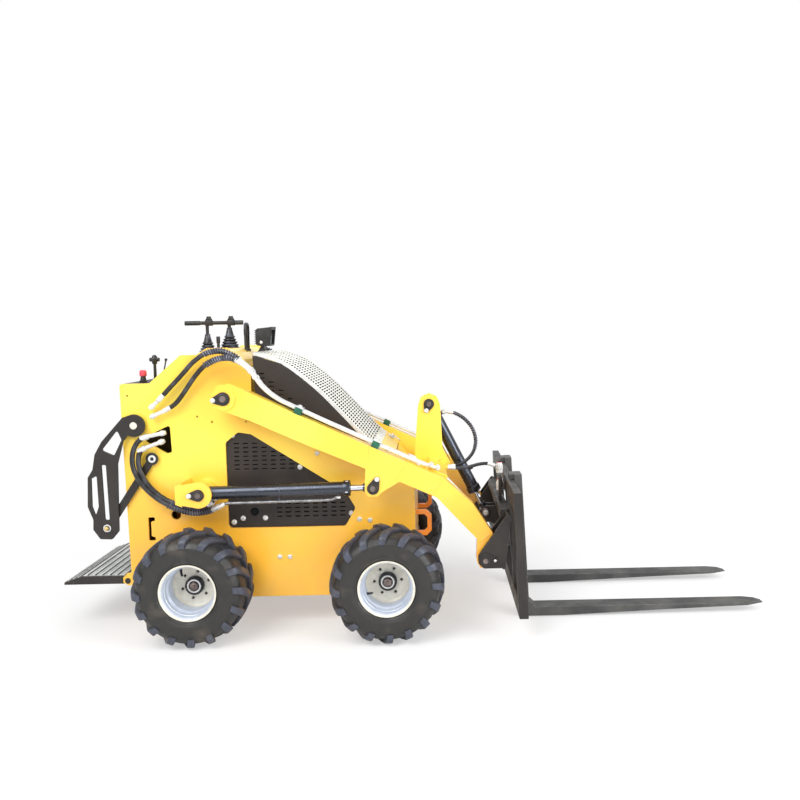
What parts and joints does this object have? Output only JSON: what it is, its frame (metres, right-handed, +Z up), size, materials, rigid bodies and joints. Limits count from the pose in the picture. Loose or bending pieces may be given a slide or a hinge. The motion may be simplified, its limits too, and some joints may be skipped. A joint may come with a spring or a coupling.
{
  "type": "compact stand-on skid steer loader with pallet forks",
  "caption": "Compact stand-on skid steer loader with a lift arm, hydraulic cylinders, a fork carriage, a fold-up rider's platform and swing-up side guards.",
  "frame": {"origin": "ground level, under the middle of the machine's length and width", "axes": "+X the way it drives, +Y its left, +Z up"},
  "size_m": [2.824, 1.094, 1.2408],
  "materials": {
    "yellow_paint": "gloss",
    "black_paint": "satin",
    "dark_grille": "satin",
    "mesh_steel": "satin",
    "rim_silver": "gloss",
    "tyre_rubber": "matte",
    "soft_rubber": "matte",
    "chrome": "polished",
    "lens_glass": "polished",
    "zinc": "satin",
    "cast_engine": "matte",
    "orange_paint": "gloss",
    "moulded_black": "matte",
    "barrel_black": "gloss"
  },
  "bodies": {
    "frame": {"chassis": "yellow_paint", "side_plate_right": "yellow_paint", "side_plate_left": "yellow_paint", "rear_panel": "black_paint", "tow_rings": "orange_paint", "base_pins": "zinc", "side_grilles": "dark_grille", "bonnet": "mesh_steel", "engine_block": "cast_engine", "console": "yellow_paint", "control_bar": "black_paint", "control_boots": "soft_rubber", "work_lamp": "moulded_black", "lamp_lens": "lens_glass", "console_switches": "moulded_black", "wheel_hubs": "black_paint", "hose_fittings": "zinc", "lift_hoses_right": "soft_rubber", "lift_hoses_left": "soft_rubber", "hump_hoses_right": "soft_rubber", "hump_hoses_left": "soft_rubber"},
    "lift_arms": {"lift_arm_right": "yellow_paint", "lift_arm_left": "yellow_paint", "arm_pins": "zinc", "cross_member": "yellow_paint", "arm_pipes": "zinc", "tilt_hose": "soft_rubber", "coupler_hose": "soft_rubber"},
    "lift_barrel_right": {"lift_barrel_right": "barrel_black"},
    "lift_barrel_left": {"lift_barrel_left": "barrel_black"},
    "lift_rod_right": {"lift_rod_right": "chrome"},
    "lift_rod_left": {"lift_rod_left": "chrome"},
    "tilt_barrel": {"tilt_barrel": "barrel_black"},
    "tilt_rod": {"tilt_rod": "chrome"},
    "carriage": {"quick_attach": "black_paint", "carriage_frame": "black_paint", "fork_right": "black_paint", "fork_left": "black_paint", "couplers": "zinc"},
    "platform": {"platform": "black_paint"},
    "guard_right": {"guard_right": "black_paint"},
    "guard_left": {"guard_left": "black_paint"},
    "stay_right": {"stay_right": "black_paint"},
    "stay_left": {"stay_left": "black_paint"},
    "wheel_front_right": {"tyre_front_right": "tyre_rubber", "rim_front_right": "rim_silver"},
    "wheel_front_left": {"tyre_front_left": "tyre_rubber", "rim_front_left": "rim_silver"},
    "wheel_rear_right": {"tyre_rear_right": "tyre_rubber", "rim_rear_right": "rim_silver"},
    "wheel_rear_left": {"tyre_rear_left": "tyre_rubber", "rim_rear_left": "rim_silver"}
  },
  "joints": [
    {"name": "arm_lift", "type": "hinge", "parent": "frame", "child": "lift_arms", "pos_m": [-0.706, 0, 0.922], "axis": [0, -1, 0], "range_deg": [0, 75], "deforming": ["hump_hoses_right", "hump_hoses_left"]},
    {"name": "carriage_tilt", "type": "hinge", "parent": "lift_arms", "child": "carriage", "pos_m": [0.273, 0, 0.285], "axis": [0, 1, 0], "range_deg": [-20, 65], "deforming": ["coupler_hose"]},
    {"name": "tilt_barrel_swing", "type": "hinge", "parent": "lift_arms", "child": "tilt_barrel", "pos_m": [0.064, 0, 0.857], "axis": [0, -1, 0], "range_deg": [-10, 10], "deforming": ["tilt_hose"]},
    {"name": "tilt_rod_slide", "type": "slide", "parent": "tilt_barrel", "child": "tilt_rod", "axis": [0.4465, 0, -0.8948], "range_m": [-0.035, 0.12]},
    {"name": "platform_fold", "type": "hinge", "parent": "frame", "child": "platform", "pos_m": [-1.148, 0, 0.19], "axis": [0, 1, 0], "range_deg": [0, 80]},
    {"name": "lift_barrel_swing_right", "type": "hinge", "parent": "frame", "child": "lift_barrel_right", "pos_m": [-0.813, -0.375, 0.558], "axis": [0, -1, 0], "range_deg": [0, 54], "deforming": ["lift_hoses_right"]},
    {"name": "lift_rod_slide_right", "type": "slide", "parent": "lift_barrel_right", "child": "lift_rod_right", "axis": [0.9999, 0, 0.0166], "range_m": [0, 0.345]},
    {"name": "guard_swing_right", "type": "hinge", "parent": "frame", "child": "guard_right", "pos_m": [-1.083, -0.304, 0.816], "axis": [0, 1, 0], "range_deg": [0, 88]},
    {"name": "stay_swing_right", "type": "hinge", "parent": "frame", "child": "stay_right", "pos_m": [-1.021, -0.304, 0.683], "axis": [0, 1, 0], "range_deg": [0, 104]},
    {"name": "lift_barrel_swing_left", "type": "hinge", "parent": "frame", "child": "lift_barrel_left", "pos_m": [-0.813, 0.375, 0.558], "axis": [0, -1, 0], "range_deg": [0, 54], "deforming": ["lift_hoses_left"]},
    {"name": "lift_rod_slide_left", "type": "slide", "parent": "lift_barrel_left", "child": "lift_rod_left", "axis": [0.9999, 0, 0.0166], "range_m": [0, 0.345]},
    {"name": "guard_swing_left", "type": "hinge", "parent": "frame", "child": "guard_left", "pos_m": [-1.083, 0.304, 0.816], "axis": [0, 1, 0], "range_deg": [0, 88]},
    {"name": "stay_swing_left", "type": "hinge", "parent": "frame", "child": "stay_left", "pos_m": [-1.021, 0.304, 0.683], "axis": [0, 1, 0], "range_deg": [0, 104]},
    {"name": "wheel_front_right_spin", "type": "hinge", "parent": "frame", "child": "wheel_front_right", "pos_m": [-0.102, -0.445, 0.217], "axis": [0, 1, 0], "continuous": true},
    {"name": "wheel_front_left_spin", "type": "hinge", "parent": "frame", "child": "wheel_front_left", "pos_m": [-0.102, 0.445, 0.217], "axis": [0, 1, 0], "continuous": true},
    {"name": "wheel_rear_right_spin", "type": "hinge", "parent": "frame", "child": "wheel_rear_right", "pos_m": [-0.834, -0.445, 0.217], "axis": [0, 1, 0], "continuous": true},
    {"name": "wheel_rear_left_spin", "type": "hinge", "parent": "frame", "child": "wheel_rear_left", "pos_m": [-0.834, 0.445, 0.217], "axis": [0, 1, 0], "continuous": true}
  ],
  "couplings": [
    {"joint": "tilt_barrel_swing", "follows": "carriage_tilt", "ratio": 0.071},
    {"joint": "tilt_rod_slide", "follows": "carriage_tilt", "m_per_rad": 0.0913},
    {"joint": "lift_barrel_swing_right", "follows": "arm_lift", "ratio": 0.7045},
    {"joint": "lift_rod_slide_right", "follows": "arm_lift", "m_per_rad": 0.2597},
    {"joint": "stay_swing_right", "follows": "guard_swing_right", "ratio": 1.166},
    {"joint": "lift_barrel_swing_left", "follows": "arm_lift", "ratio": 0.7045},
    {"joint": "lift_rod_slide_left", "follows": "arm_lift", "m_per_rad": 0.2597},
    {"joint": "stay_swing_left", "follows": "guard_swing_left", "ratio": 1.166}
  ]
}
